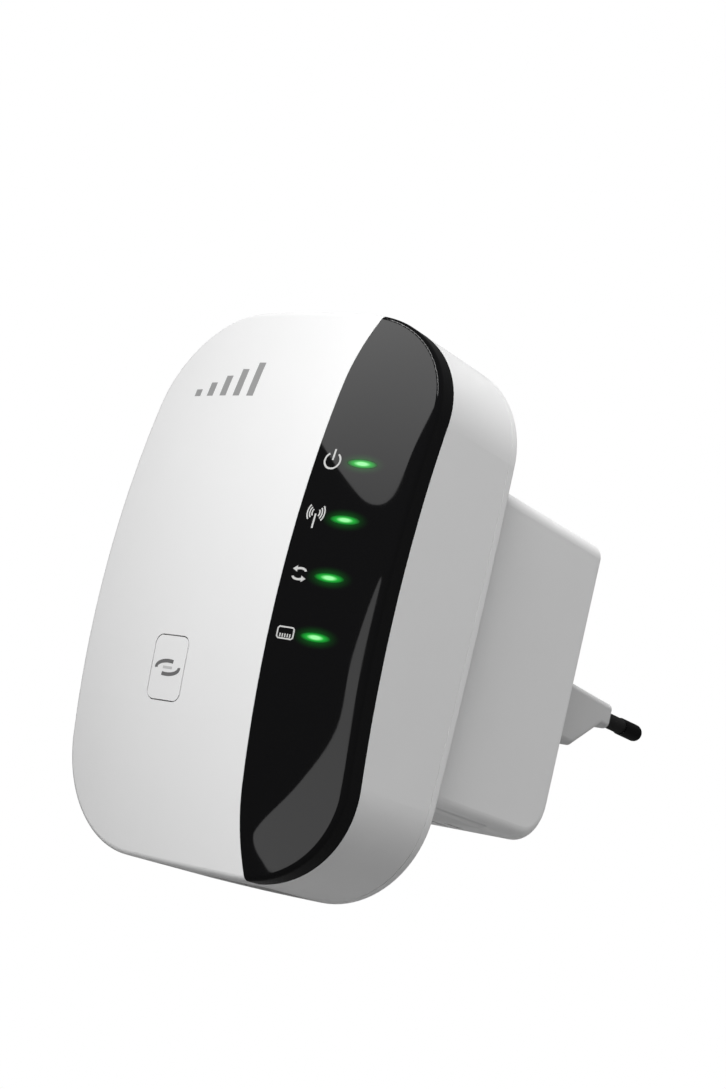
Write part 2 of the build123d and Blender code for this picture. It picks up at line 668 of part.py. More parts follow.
def standing_can(x, y, radius, height):
    can = fillet(rod_z(radius, MAINS_Z, MAINS_Z + height, x, y).edges(), 0.5)
    ring = rod_z(radius + 1, MAINS_Z + 1.2, MAINS_Z + 1.8, x, y)
    ring -= rod_z(radius - 0.3, MAINS_Z + 1.1, MAINS_Z + 1.9, x, y)
    return can - ring


def bridge_rectifier():
    body = on_board(17.0, 23.0, 66.5, 71.5, 2.6)
    return chamfer(body.edges().filter_by(Axis.X), 0.4)


def lying_part(x0, x1, y, radius):
    """Round part lying on its two bent leads across the board."""
    z = MAINS_Z + radius + 0.6
    part = chamfer(rod_x(radius, x0, x1, y, z).edges(), 0.4)
    for x, bend_x in ((x0, x0 - 1.6), (x1, x1 + 1.6)):
        route = FilletPolyline((x, y, z), (bend_x, y, z), (bend_x, y, MAINS_Z), radius=0.8)
        part += sweep(Plane(route @ 0, z_dir=route % 0) * Circle(0.35), path=route)
    return part


def filter_inductor():
    """Drum core with a wound waist."""
    drum = rod_z(4.0, MAINS_Z, MAINS_Z + 9.0, -18.0, 59.0)
    waist = rod_z(5, MAINS_Z + 1.5, MAINS_Z + 7.5, -18.0, 59.0)
    waist -= rod_z(3.4, MAINS_Z + 1.4, MAINS_Z + 7.6, -18.0, 59.0)
    return drum - waist


def safety_capacitor():
    """Disc capacitor standing on edge."""
    disc = Pos(13.5, 60.0, MAINS_Z + 4.6) * Rot(0, 90, 0) * Cylinder(4.2, 3.0)
    disc = fillet(disc.edges(), 1.2)
    for y in (57.6, 62.4):
        disc += rod_z(0.35, MAINS_Z, MAINS_Z + 3.0, 13.5, y)
    return disc


def dip_package(x, y, width, length, legs):
    body = block(x - width / 2, x + width / 2, y - length / 2, y + length / 2, MAINS_Z + 0.5, MAINS_Z + 3.9)
    solids = [chamfer(body.edges().filter_by(Axis.Y), 0.3)]
    for side in (-1, 1):
        inner = x + side * width / 2
        x0, x1 = sorted((inner, inner + side * 0.9))
        for place in slot_places(legs, 2.54):
            solids.append(block(x0, x1, y + place - 0.3, y + place + 0.3, MAINS_Z, MAINS_Z + 2.4))
    return group(solids)


# ---------------------------------------------------------------- low-voltage lead


def link_header():
    """Two-way header on the main board's rear."""
    x, z = LINK_X, LINK_HEADER_Z
    shell = block(x - 3.5, x + 3.5, BOARD_BACK, BOARD_BACK + 5.5, z - 3, z + 3)
    shell -= block(x - 2.8, x + 2.8, BOARD_BACK + 1, BOARD_BACK + 6, z - 2.3, z + 2.3)
    for pin_x in LINK_WIRE_PLACES:
        shell += rod_y(0.35, BOARD_BACK + 0.9, BOARD_BACK + 4.0, pin_x, z)
    return shell


def link_plug():
    """Crimp housing that pushes over the header's pins."""
    y0, y1 = BOARD_BACK + 1.1, BOARD_BACK + 7.5
    plug = block(LINK_X - 2.7, LINK_X + 2.7, y0, y1, LINK_HEADER_Z - 2.2, LINK_HEADER_Z + 2.2)
    for pin_x in LINK_WIRE_PLACES:
        plug -= rod_y(0.37, y0 - 1, y0 + 3.2, pin_x, LINK_HEADER_Z)
    return plug


def link_leads():
    """Two insulated wires from the crimp housing back and down to the power board."""
    wires = []
    for x in LINK_WIRE_PLACES:
        route = FilletPolyline(
            (x, BOARD_BACK + 7.5, LINK_HEADER_Z), (x, 38.0, LINK_HEADER_Z),
            (x, 47.0, LINK_HEADER_Z - 3.5), (x, 47.0, MAINS_Z), radius=2.5,
        )
        wires.append(sweep(Plane(route @ 0, z_dir=route % 0) * Circle(0.7), path=route))
    return group(wires)


# ---------------------------------------------------------------- fasteners


def pan_screw(x, z, head_y, direction, radius, length, head_radius, head_height):
    """Self-tapping pan-head screw along y, with a cross recess; direction is the way it points."""
    neck_y = head_y + direction * head_height
    tip_y = neck_y + direction * length
    head = rod_y(head_radius, *sorted((head_y, neck_y)), x, z)
    outer_rim = [e for e in head.edges() if abs(e.center().Y - head_y) < 0.01]
    head = fillet(outer_rim, head_height * 0.45)
    for wide, high in ((0.5, head_radius * 1.1), (head_radius * 1.1, 0.5)):
        depth = head_height * 0.6
        y0, y1 = sorted((head_y - direction, head_y + direction * depth))
        head -= block(x - wide / 2, x + wide / 2, y0, y1, z - high / 2, z + high / 2)
    return head + rod_y(radius, *sorted((neck_y, tip_y)), x, z)


def case_screws():
    size = (SCREW_RADIUS, 9.8, SCREW_HEAD_RADIUS, 2.0)
    return group(pan_screw(x, z, CASE_SCREW_HEAD_Y, -1, *size) for x, z in CASE_SCREW_PLACES)


def board_screws():
    size = (BOARD_SCREW_RADIUS, 6.6, 1.9, 1.4)
    return group(pan_screw(x, z, BOARD_BACK + 1.4, -1, *size) for x, z in BOARD_SCREW_PLACES)


def housing_screws():
    size = (SCREW_RADIUS, 11.0, SCREW_HEAD_RADIUS, 1.8)
    return group(pan_screw(x, z, PARTING_Y - 1.8, 1, *size) for x, z in HOUSING_SCREW_PLACES)


# ---------------------------------------------------------------- all pieces


def main():
    os.makedirs("parts", exist_ok=True)
    outer = body_form(0, BODY_DEPTH)
    write("front_shell", front_shell(outer))
    write("accent_strip", accent_strip(outer))
    write("rear_shell", rear_shell(outer))
    write("power_housing", power_housing())
    write("rating_plate", rating_plate())
    write("case_screws", case_screws())
    write("housing_screws", housing_screws())

    write("plug_nose", plug_nose())
    for name, x in zip(("left", "right"), pin_places()):
        write(f"plug_pin_{name}", plug_pin(x))
        write(f"pin_sleeve_{name}", pin_sleeve(x))
        write(f"mains_lead_{name}", mains_lead(x))

    write("wps_button", wps_button(outer))
    write("wps_switch_base", switch_base())
    write("wps_switch_plunger", switch_plunger())
    write("reset_switch_base", reset_base())
    write("reset_switch_plunger", reset_plunger())
    for index, name in enumerate(LAMP_NAMES):
        write(f"light_pipe_{name}", light_pipe(index, outer))
        write(f"led_{name}", lamp(index))

    write("main_board", main_board())
    write("board_screws", board_screws())
    write("rf_shield", rf_shield())
    write("wifi_chip", chip(-8, 13, 12, 12, 1.0, False))
    write("crystal", chip(-8, 3.5, 5.0, 3.2, 1.1, False))
    write("memory_chip", legged_chip(-8, 14, 10.2, 18.4, 1.1, 12, True))
    write("flash_chip", legged_chip(12, 12, 5.3, 5.3, 1.9, 4, True))
    write("network_transformer", legged_chip(JACK_X, -24, 9.5, 12.7, 5.0, 8, True))
    write("regulator_chip", legged_chip(12, 0, 3.9, 4.9, 1.5, 4, True))
    write("power_inductor", power_inductor())
    write("board_capacitors", group(can_capacitor(20, z) for z in (-8, 1)))
    write("antenna_left", antenna(-1))
    write("antenna_right", antenna(1))
    write("rj45_shield", rj45_shield())
    write("rj45_body", rj45_body())
    write("rj45_contacts", rj45_contacts())

    write("link_header", link_header())
    write("link_plug", link_plug())
    write("link_leads", link_leads())

    write("mains_board", mains_board())
    write("transformer_core", transformer_core())
    write("transformer_winding", transformer_winding())
    write("mains_capacitors", group(standing_can(x, 73.4, 4.0, 14.0) for x in (-6.0, 4.5)))
    write("output_capacitors", group(standing_can(x, 43.5, 3.15, 11.0) for x in (-6.5, 2.0)))
    write("bridge_rectifier", bridge_rectifier())
    write("fusible_resistor", lying_part(17.8, 20.4, 76.0, 1.3))
    write("output_diode", lying_part(8.5, 13.0, 44.0, 1.4))
    write("filter_inductor", filter_inductor())
    write("safety_capacitor", safety_capacitor())
    write("optocoupler", dip_package(18.8, 54.5, 6.4, 4.6, 2))
    write("controller_chip", dip_package(-18.0, 70.0, 6.4, 9.6, 4))


main()
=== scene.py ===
import json
import math

import bmesh
import bpy
from mathutils import Matrix, Vector


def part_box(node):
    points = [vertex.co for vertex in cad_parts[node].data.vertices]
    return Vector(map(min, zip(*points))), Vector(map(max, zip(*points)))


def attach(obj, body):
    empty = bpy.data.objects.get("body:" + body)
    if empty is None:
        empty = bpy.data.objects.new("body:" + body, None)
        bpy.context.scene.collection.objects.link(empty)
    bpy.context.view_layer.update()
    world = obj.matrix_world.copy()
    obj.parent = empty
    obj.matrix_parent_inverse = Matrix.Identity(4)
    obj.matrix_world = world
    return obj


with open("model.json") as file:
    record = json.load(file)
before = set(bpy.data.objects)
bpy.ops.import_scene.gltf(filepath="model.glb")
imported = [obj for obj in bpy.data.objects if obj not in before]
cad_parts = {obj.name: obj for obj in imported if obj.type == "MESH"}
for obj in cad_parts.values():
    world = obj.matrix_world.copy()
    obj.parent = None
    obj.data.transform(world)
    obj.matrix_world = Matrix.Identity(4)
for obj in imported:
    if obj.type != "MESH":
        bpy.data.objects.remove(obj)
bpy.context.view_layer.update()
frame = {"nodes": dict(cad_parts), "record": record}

MM = 0.001

# Places read from the frame
SHELL_LO, SHELL_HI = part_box("front_shell")
CREST_Y = SHELL_LO.y
BODY_Z = (SHELL_LO.z + SHELL_HI.z) / 2
PIPE_NAMES = ["power", "wireless", "link", "lan"]


def centre(node):
    low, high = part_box(node)
    return (low + high) / 2


KEY_MIDDLE = centre("wps_button")


# The front face curves both ways with these radii, as in the CAD model
BULGE_RADIUS_X = 131.0 * MM
BULGE_RADIUS_Z = 196.0 * MM


def front_point(x, z, lift=0.0):
    """Point on the front face at x, z, raised by lift along its normal."""
    drop = BULGE_RADIUS_X - math.sqrt(BULGE_RADIUS_X**2 - x**2)
    ring = BULGE_RADIUS_Z - drop
    up = z - BODY_Z
    y = CREST_Y + BULGE_RADIUS_Z - math.sqrt(ring**2 - up**2)
    across = math.asin(x / BULGE_RADIUS_X)
    along = math.asin(up / ring)
    normal = Vector((
        math.sin(across),
        -math.cos(across) * math.cos(along),
        math.cos(across) * math.sin(along),
    ))
    return Vector((x, y, z)) + normal * lift


# ---------------------------------------------------------------- materials


def new_material(name, color, roughness, metallic=0.0, coat=0.0):
    """A material with its Principled shader and node tree, ready for more nodes."""
    mat = bpy.data.materials.new(name)
    mat.use_nodes = True
    shader = mat.node_tree.nodes["Principled BSDF"]
    shader.inputs["Base Color"].default_value = (*color, 1)
    shader.inputs["Roughness"].default_value = roughness
    shader.inputs["Metallic"].default_value = metallic
    shader.inputs["Coat Weight"].default_value = coat
    shader.inputs["IOR"].default_value = 1.5
    return mat, mat.node_tree, shader


def object_noise(tree, scale, detail=3.0):
    """Noise in the object's own space; scale is in cells per metre."""
    coords = tree.nodes.new("ShaderNodeTexCoord")
    noise = tree.nodes.new("ShaderNodeTexNoise")
    noise.inputs["Scale"].default_value = scale
    noise.inputs["Detail"].default_value = detail
    tree.links.new(coords.outputs["Object"], noise.inputs["Vector"])
    return noise


def spread(tree, source, low, high):
    """Maps the middle of a 0 to 1 value, where noise mostly lies, to the range low to high."""
    node = tree.nodes.new("ShaderNodeMapRange")
    node.inputs["From Min"].default_value = 0.3
    node.inputs["From Max"].default_value = 0.7
    node.inputs["To Min"].default_value = low
    node.inputs["To Max"].default_value = high
    tree.links.new(source, node.inputs["Value"])
    return node.outputs["Result"]


COLOR_VARIATION = 0.012


def vary_color(tree, shader, color):
    """Slight unevenness of the base colour."""
    noise = object_noise(tree, 60.0)
    mix = tree.nodes.new("ShaderNodeMix")
    mix.data_type = "RGBA"
    mix.inputs["A"].default_value = (*[c * (1 - COLOR_VARIATION) for c in color], 1)
    mix.inputs["B"].default_value = (*[c * (1 + COLOR_VARIATION) for c in color], 1)
    tree.links.new(noise.outputs["Fac"], mix.inputs["Factor"])
    tree.links.new(mix.outputs["Result"], shader.inputs["Base Color"])


def bump(tree, shader, height, strength, distance):
    node = tree.nodes.new("ShaderNodeBump")
    node.inputs["Strength"].default_value = strength
    node.inputs["Distance"].default_value = distance
    tree.links.new(height, node.inputs["Height"])
    tree.links.new(node.outputs["Normal"], shader.inputs["Normal"])


def plastic(name, color, roughness, grain=9000.0, grain_depth=0.004 * MM):
    """Moulded plastic: uneven gloss, a fine spark-eroded grain and a little colour variation."""
    mat, tree, shader = new_material(name, color, roughness)
    cloud = object_noise(tree, 180.0)
    uneven = spread(tree, cloud.outputs["Fac"], roughness * 0.88, roughness * 1.12)
    tree.links.new(uneven, shader.inputs["Roughness"])
    vary_color(tree, shader, color)
    bump(tree, shader, object_noise(tree, grain, 2.0).outputs["Fac"], 0.35, grain_depth)
    return mat


def metal(name, color, roughness, brush=(1.0, 1.0, 1.0)):
    """Plated or drawn metal with fine marks, stretched along one axis if brush says so."""
    mat, tree, shader = new_material(name, color, roughness, metallic=1.0)
    coords = tree.nodes.new("ShaderNodeTexCoord")
    mapping = tree.nodes.new("ShaderNodeMapping")
    mapping.inputs["Scale"].default_value = brush
    noise = tree.nodes.new("ShaderNodeTexNoise")
    noise.inputs["Scale"].default_value = 2500.0
    tree.links.new(coords.outputs["Object"], mapping.inputs["Vector"])
    tree.links.new(mapping.outputs["Vector"], noise.inputs["Vector"])
    uneven = spread(tree, noise.outputs["Fac"], roughness * 0.7, roughness * 1.4)
    tree.links.new(uneven, shader.inputs["Roughness"])
    bump(tree, shader, noise.outputs["Fac"], 0.2, 0.005 * MM)
    return mat


def vector_step(tree, operation, first, second):
    """One vector operation; second is a socket or a constant."""
    node = tree.nodes.new("ShaderNodeVectorMath")
    node.operation = operation
    tree.links.new(first, node.inputs[0])
    if operation == "SCALE":
        node.inputs["Scale"].default_value = second
    elif isinstance(second, tuple):
        node.inputs[1].default_value = second
    elif second is not None:
        tree.links.new(second, node.inputs[1])
    return node.outputs["Value" if operation == "DOT_PRODUCT" else "Vector"]


# Cosine of the angle between the mesh and the ideal face: below the first the mesh's own
# normal is used, above the second the ideal face's
OFF_FACE = 0.990
ON_FACE = 0.998


def true_face_normal(tree):
    """Normal of the ideal front face, and the mesh's own normal where a surface leaves it."""
    coords = tree.nodes.new("ShaderNodeTexCoord")
    geometry = tree.nodes.new("ShaderNodeNewGeometry")
    axis_point = (0, CREST_Y + BULGE_RADIUS_Z, BODY_Z)
    reach = vector_step(tree, "SUBTRACT", coords.outputs["Object"], axis_point)
    radial = vector_step(tree, "NORMALIZE", vector_step(tree, "MULTIPLY", reach, (0, 1, 1)), None)
    middle = vector_step(tree, "SCALE", radial, BULGE_RADIUS_Z - BULGE_RADIUS_X)
    exact = vector_step(tree, "NORMALIZE", vector_step(tree, "SUBTRACT", reach, middle), None)
    match = tree.nodes.new("ShaderNodeMapRange")
    match.inputs["From Min"].default_value = OFF_FACE
    match.inputs["From Max"].default_value = ON_FACE
    closeness = vector_step(tree, "DOT_PRODUCT", exact, geometry.outputs["Normal"])
    tree.links.new(closeness, match.inputs["Value"])
    mix = tree.nodes.new("ShaderNodeMix")
    mix.data_type = "VECTOR"
    tree.links.new(match.outputs["Result"], mix.inputs["Factor"])
    tree.links.new(geometry.outputs["Normal"], mix.inputs["A"])
    tree.links.new(exact, mix.inputs["B"])
    return vector_step(tree, "NORMALIZE", mix.outputs["Result"], None)


# How far the light of one indicator shows on the strip as a painted glow, and in its own light
# pipe
GLOW_REACH = (5.2 * MM, 6.0 * MM, 2.3 * MM)
LENS_REACH = (2.9 * MM, 6.0 * MM, 0.85 * MM)
GLOW_COLOR = (0.003, 0.17, 0.015)
LENS_RIM = (0.0, 0.04, 0.002)
LENS_GREEN = (0.01, 0.40, 0.035)
LENS_CORE = (0.36, 1.0, 0.40)


def around_pipes(tree, reach, gradient, combine):
    """Value that is highest at the middle of each light pipe and falls off over reach."""
    coords = tree.nodes.new("ShaderNodeTexCoord")
    total = None
    for name in PIPE_NAMES:
        middle = centre(f"light_pipe_{name}")
        mapping = tree.nodes.new("ShaderNodeMapping")
        mapping.vector_type = "TEXTURE"
        mapping.inputs["Location"].default_value = front_point(middle.x, middle.z)
        mapping.inputs["Scale"].default_value = reach
        falloff = tree.nodes.new("ShaderNodeTexGradient")
        falloff.gradient_type = gradient
        tree.links.new(coords.outputs["Object"], mapping.inputs["Vector"])
        tree.links.new(mapping.outputs["Vector"], falloff.inputs["Vector"])
        if total is None:
            total = falloff.outputs["Fac"]
        else:
            both = tree.nodes.new("ShaderNodeMath")
            both.operation = combine
            tree.links.new(total, both.inputs[0])
            tree.links.new(falloff.outputs["Fac"], both.inputs[1])
            total = both.outputs["Value"]
    return total


def strip_material():
    """High-gloss black moulding, with a little of each indicator's light painted around it as a
    green glow.
    """
    mat, tree, shader = new_material("strip_gloss_black", (0.0035, 0.0035, 0.0038), 0.03)
    cloud = object_noise(tree, 120.0)
    tree.links.new(spread(tree, cloud.outputs["Fac"], 0.02, 0.04), shader.inputs["Roughness"])
    # Painted glow: green emission on the strip around each indicator, standing in for its light
    painted_glow = tree.nodes.new("ShaderNodeMix")
    painted_glow.data_type = "RGBA"
    painted_glow.inputs["A"].default_value = (0, 0, 0, 1)
    painted_glow.inputs["B"].default_value = (*GLOW_COLOR, 1)
    total = around_pipes(tree, GLOW_REACH, "QUADRATIC_SPHERE", "ADD")
    tree.links.new(total, painted_glow.inputs["Factor"])
    tree.links.new(painted_glow.outputs["Result"], shader.inputs["Emission Color"])
    shader.inputs["Emission Strength"].default_value = 1.0
    tree.links.new(true_face_normal(tree), shader.inputs["Normal"])
    return mat


def lens_material():
    """Lit light pipes: brightest in the middle of each, greener towards its ends."""
    mat, tree, shader = new_material("lens_lit_green", (0.004, 0.04, 0.008), 0.18)
    ramp = tree.nodes.new("ShaderNodeValToRGB")
    stops = ramp.color_ramp.elements
    stops[0].color = (*LENS_RIM, 1)
    stops[1].position = 0.72
    stops[1].color = (*LENS_CORE, 1)
    stops.new(0.4).color = (*LENS_GREEN, 1)
    total = around_pipes(tree, LENS_REACH, "SPHERICAL", "MAXIMUM")
    tree.links.new(total, ramp.inputs["Fac"])
    tree.links.new(ramp.outputs["Color"], shader.inputs["Emission Color"])
    shader.inputs["Emission Strength"].default_value = 1.0
    return mat


def board_material(name, color, track_color):
    """Solder-masked laminate with faint tracks under the mask."""
    mat, tree, shader = new_material(name, color, 0.35, coat=0.3)
    coords = tree.nodes.new("ShaderNodeTexCoord")
    cells = tree.nodes.new("ShaderNodeTexVoronoi")
    cells.distance = "MANHATTAN"
    cells.inputs["Scale"].default_value = 260.0
    mix = tree.nodes.new("ShaderNodeMix")
    mix.data_type = "RGBA"
    mix.inputs["A"].default_value = (*color, 1)
    mix.inputs["B"].default_value = (*track_color, 1)
    tree.links.new(coords.outputs["Object"], cells.inputs["Vector"])
    tree.links.new(spread(tree, cells.outputs["Distance"], 0, 1), mix.inputs["Factor"])
    tree.links.new(mix.outputs["Result"], shader.inputs["Base Color"])
    return mat


# Factor on the white behind the housing's rear face, which makes the plug's moulding darker
NOSE_DARKENING = 0.72


def housing_material():
    """White plastic of the housing; behind the housing's rear face, on the plug's moulding, the
    white is darker.
    """
    mat = plastic("housing_white", (0.78, 0.78, 0.78), 0.48, grain=5200.0, grain_depth=0.012 * MM)
    tree = mat.node_tree
    shader = tree.nodes["Principled BSDF"]
    white = shader.inputs["Base Color"].links[0].from_socket
    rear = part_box("power_housing")[1].y
    coords = tree.nodes.new("ShaderNodeTexCoord")
    split = tree.nodes.new("ShaderNodeSeparateXYZ")
    along = tree.nodes.new("ShaderNodeMapRange")
    along.inputs["From Min"].default_value = rear
    along.inputs["From Max"].default_value = rear + 0.5 * MM
    # Darker white behind the housing's rear face
    mix = tree.nodes.new("ShaderNodeMix")
    mix.data_type = "RGBA"
    mix.blend_type = "MULTIPLY"
    mix.inputs["B"].default_value = (NOSE_DARKENING, NOSE_DARKENING, NOSE_DARKENING, 1)
    tree.links.new(coords.outputs["Object"], split.inputs["Vector"])
    tree.links.new(split.outputs["Y"], along.inputs["Value"])
    tree.links.new(along.outputs["Result"], mix.inputs["Factor"])
    tree.links.new(white, mix.inputs["A"])
    tree.links.new(mix.outputs["Result"], shader.inputs["Base Color"])
    return mat


MATERIALS = {
    "white_plastic": plastic("casing_white", (0.80, 0.80, 0.80), 0.36, grain_depth=0.002 * MM),
    "housing_plastic": housing_material(),
    "black_gloss": strip_material(),
    "plate_foil": plastic("plate_white", (0.72, 0.72, 0.72), 0.42),
    "screw_steel": metal("screw_zinc", (0.50, 0.51, 0.54), 0.3),
    # The pin's metal is given a near-black colour
    "nickel_brass": metal("pin_near_black_metal", (0.05, 0.05, 0.052), 0.3, brush=(1.0, 0.05, 1.0)),
    "sleeve_plastic": plastic("sleeve_black", (0.012, 0.012, 0.012), 0.4),
    "wire_brown": plastic("lead_brown", (0.10, 0.035, 0.015), 0.45),
    "wire_blue": plastic("lead_blue", (0.01, 0.05, 0.28), 0.45),
    "wire_red": plastic("lead_red", (0.40, 0.01, 0.01), 0.45),
    "black_moulding": plastic("epoxy_black", (0.018, 0.018, 0.02), 0.5, grain_depth=0.01 * MM),
    "switch_key": plastic("switch_grey", (0.30, 0.29, 0.27), 0.45),
    "green_light": lens_material(),
    "led_package": plastic("lamp_white", (0.7, 0.7, 0.62), 0.4),
    "green_board": board_material("board_green", (0.012, 0.10, 0.035), (0.02, 0.16, 0.06)),
    "tan_board": board_material("board_tan", (0.30, 0.19, 0.07), (0.24, 0.15, 0.05)),
    "tinned_steel": metal("tin_plate", (0.62, 0.62, 0.60), 0.28),
    "gold_contact": metal("contact_gold", (0.83, 0.60, 0.22), 0.2),
    "ferrite": plastic("ferrite_grey", (0.035, 0.035, 0.038), 0.6, grain_depth=0.02 * MM),
    "yellow_tape": plastic("tape_yellow", (0.72, 0.48, 0.03), 0.35),
    "can_sleeve": plastic("can_black", (0.015, 0.015, 0.03), 0.25),
    "resistor_coat": plastic("resistor_green", (0.10, 0.22, 0.14), 0.4),
    "blue_disc": plastic("disc_blue", (0.03, 0.10, 0.38), 0.35),
    "nylon": plastic("nylon_natural", (0.70, 0.66, 0.54), 0.45),
}

for entry in frame["record"]["subparts"]:
    node = frame["nodes"][entry["node"]]
    node.data.materials.clear()
    node.data.materials.append(MATERIALS[entry["material_slot"]])


# ---------------------------------------------------------------- printed marks


# Printed marks reach this far above and below the surface that they lie on
PRINT_LIFT = 0.02 * MM
PRINT_SINK = -0.04 * MM


def short_steps(points, closed=False, step=0.4 * MM):
    """The same line with extra points, so that it follows the curved face."""
    line = []
    ends = points[1:] + points[:1] if closed else points[1:]
    for here, there in zip(points, ends):
        parts = max(1, math.ceil(math.dist(here, there) / step))
        for i in range(parts):
            line.append(tuple(a + (b - a) * i / parts for a, b in zip(here, there)))
    return line if closed else line + [points[-1]]


def stroke(bm, points, width, closed=False):
    """A raised line of even width on the front face, along flat points."""
    points = short_steps(points, closed)
    count = len(points)
    rims = []
    for i, point in enumerate(points):
        before = points[i - 1] if closed or i > 0 else point
        after = points[(i + 1) % count] if closed or i < count - 1 else point
        along = Vector((after[0] - before[0], after[1] - before[1])).normalized()
        side = Vector((-along.y, along.x)) * width / 2
        left = (point[0] + side.x, point[1] + side.y)
        right = (point[0] - side.x, point[1] - side.y)
        rims.append([
            bm.verts.new(front_point(*left, PRINT_LIFT)),
            bm.verts.new(front_point(*right, PRINT_LIFT)),
            bm.verts.new(front_point(*right, PRINT_SINK)),
            bm.verts.new(front_point(*left, PRINT_SINK)),
        ])
    steps = range(count if closed else count - 1)
    for i in steps:
        a, b = rims[i], rims[(i + 1) % count]
        for k in range(4):
            bm.faces.new((a[k], a[(k + 1) % 4], b[(k + 1) % 4], b[k]))
    if not closed:
        bm.faces.new(rims[0][::-1])
        bm.faces.new(rims[-1])


def patch(bm, outline):
    """A raised filled shape on the front face."""
    top = [bm.verts.new(front_point(x, z, PRINT_LIFT)) for x, z in outline]
    low = [bm.verts.new(front_point(x, z, PRINT_SINK)) for x, z in outline]
    bm.faces.new(top)
    bm.faces.new(low[::-1])
    for i in range(len(outline)):
        j = (i + 1) % len(outline)
        bm.faces.new((top[j], top[i], low[i], low[j]))


def arc(cx, cz, rx, rz, start, end, steps=20):
    """Points on an ellipse; angles in degrees, counted from +x towards +z."""
    angles = [math.radians(start + (end - start) * i / steps) for i in range(steps + 1)]
    return [(cx + rx * math.cos(a), cz + rz * math.sin(a)) for a in angles]


def printed(name, material, body, draw):
    """Makes one printed piece from a function that draws into a bmesh."""
    bm = bmesh.new()
    draw(bm)
    bmesh.ops.recalc_face_normals(bm, faces=bm.faces)
    mesh = bpy.data.meshes.new(name)
    bm.to_mesh(mesh)
    bm.free()
    piece = bpy.data.objects.new(name, mesh)
    bpy.context.scene.collection.objects.link(piece)
    mesh.materials.append(material)
    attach(piece, body)


WHITE_INK = plastic("ink_white", (0.56, 0.56, 0.55), 0.5)
GREY_INK = plastic("ink_grey", (0.15, 0.15, 0.15), 0.5)
PALE_INK = plastic("ink_pale_grey", (0.30, 0.30, 0.30), 0.5)
BAR_INK = plastic("ink_palest_grey", (0.52, 0.52, 0.52), 0.5)

ICON_X = 17.05 * MM
ICON_LINE = 0.36 * MM
WAVE_LINE = 0.27 * MM
HOOK_LINE = 0.42 * MM
PORT_LINE = 0.28 * MM
CONTACT_LINE = 0.26 * MM

POWER_RADIUS = 1.6 * MM
MAST_LOW = 2.3 * MM
MAST_HIGH = 0.5 * MM
WAVES_UP = 0.7 * MM
WAVE_RADII = [0.8 * MM, 1.3 * MM, 1.8 * MM]
WAVE_TALLER = 1.15
PORT_HALF_WIDTH = 1.7 * MM
PORT_HALF_HEIGHT = 1.05 * MM
PORT_CONTACTS = 5
PORT_PITCH = 0.52 * MM

KEY_ARC_X = 3.0 * MM
KEY_ARC_Z = 1.25 * MM
KEY_ARC_LINE = 0.7 * MM
KEY_BAR_HALF = 1.2 * MM
KEY_BAR_LINE = 0.5 * MM

MARK_X = -22.4 * MM
MARK_Z = BODY_Z + 35.4 * MM
MARK_BARS = 5
MARK_PITCH = 3.7 * MM
MARK_BAR_WIDTH = 1.7 * MM
MARK_FIRST_HEIGHT = 1.5 * MM
MARK_RISE = 1.45 * MM


def icon_centre(name):
    return ICON_X, centre(f"light_pipe_{name}").z


def draw_power(bm):
    """Open ring with a stroke through its gap."""
    x, z = icon_centre("power")
    stroke(bm, arc(x, z, POWER_RADIUS, POWER_RADIUS, 125, 415, 32), ICON_LINE)
    stroke(bm, [(x, z + 0.1 * MM), (x, z + 2.3 * MM)], ICON_LINE)


def draw_wireless(bm):
    """Mast with waves to both sides of its upper end."""
    x, z = icon_centre("wireless")
    stroke(bm, [(x, z - MAST_LOW), (x, z + MAST_HIGH)], ICON_LINE)
    for side in (0, 180):
        for radius in WAVE_RADII:
            wave = arc(x, z + WAVES_UP, radius, radius * WAVE_TALLER, side - 42, side + 42, 12)
            stroke(bm, wave, WAVE_LINE)


def draw_link(bm):
    """Two hooked arrows that pass each other."""
    x, z = icon_centre("link")
    hook = arc(0.1 * MM, 0.5 * MM, 1.15 * MM, 0.55 * MM, 5, 150, 16)
    head = [(-1.55 * MM, 0.85 * MM), (-0.65 * MM, 1.5 * MM), (-0.55 * MM, 0.3 * MM)]
    for turn in (1, -1):
        stroke(bm, [(x + turn * px, z + turn * pz) for px, pz in hook], HOOK_LINE)
        patch(bm, [(x + turn * px, z + turn * pz) for px, pz in head])


def cut_corners(corners, cut=0.3 * MM):
    """Closed outline with a short bevel at each corner, so that a stroke keeps its width."""
    points = []
    for i, corner in enumerate(corners):
        here = Vector(corner)
        for other in (corners[i - 1], corners[(i + 1) % len(corners)]):
            points.append(tuple(here + (Vector(other) - here).normalized() * cut))
    return points


def draw_lan(bm):
    """Socket outline with a row of contacts."""
    x, z = icon_centre("lan")
    signs = [(-1, -1), (1, -1), (1, 1), (-1, 1)]
    corners = [(x + i * PORT_HALF_WIDTH, z + k * PORT_HALF_HEIGHT) for i, k in signs]
    stroke(bm, cut_corners(corners), PORT_LINE, closed=True)
    for i in range(PORT_CONTACTS):
        at = x + (i - (PORT_CONTACTS - 1) / 2) * PORT_PITCH
        stroke(bm, [(at, z - 0.8 * MM), (at, z - 0.15 * MM)], CONTACT_LINE)


def draw_key(bm):
    """Two arcs chasing each other, for pairing."""
    for turn in (0, 180):
        sweep = arc(KEY_MIDDLE.x, KEY_MIDDLE.z, KEY_ARC_X, KEY_ARC_Z, turn + 65, turn + 188, 20)
        stroke(bm, sweep, KEY_ARC_LINE)


def draw_key_bar(bm):
    """Short bar between the two arcs."""
    x, z = KEY_MIDDLE.x, KEY_MIDDLE.z
    stroke(bm, [(x - KEY_BAR_HALF, z), (x + KEY_BAR_HALF, z)], KEY_BAR_LINE)


def draw_mark(bm):
    """Five bars of rising height: a plain sign for signal strength."""
    for i in range(MARK_BARS):
        x = MARK_X + i * MARK_PITCH
        top = MARK_Z + MARK_FIRST_HEIGHT + i * MARK_RISE
        stroke(bm, [(x, MARK_Z), (x, top)], MARK_BAR_WIDTH)


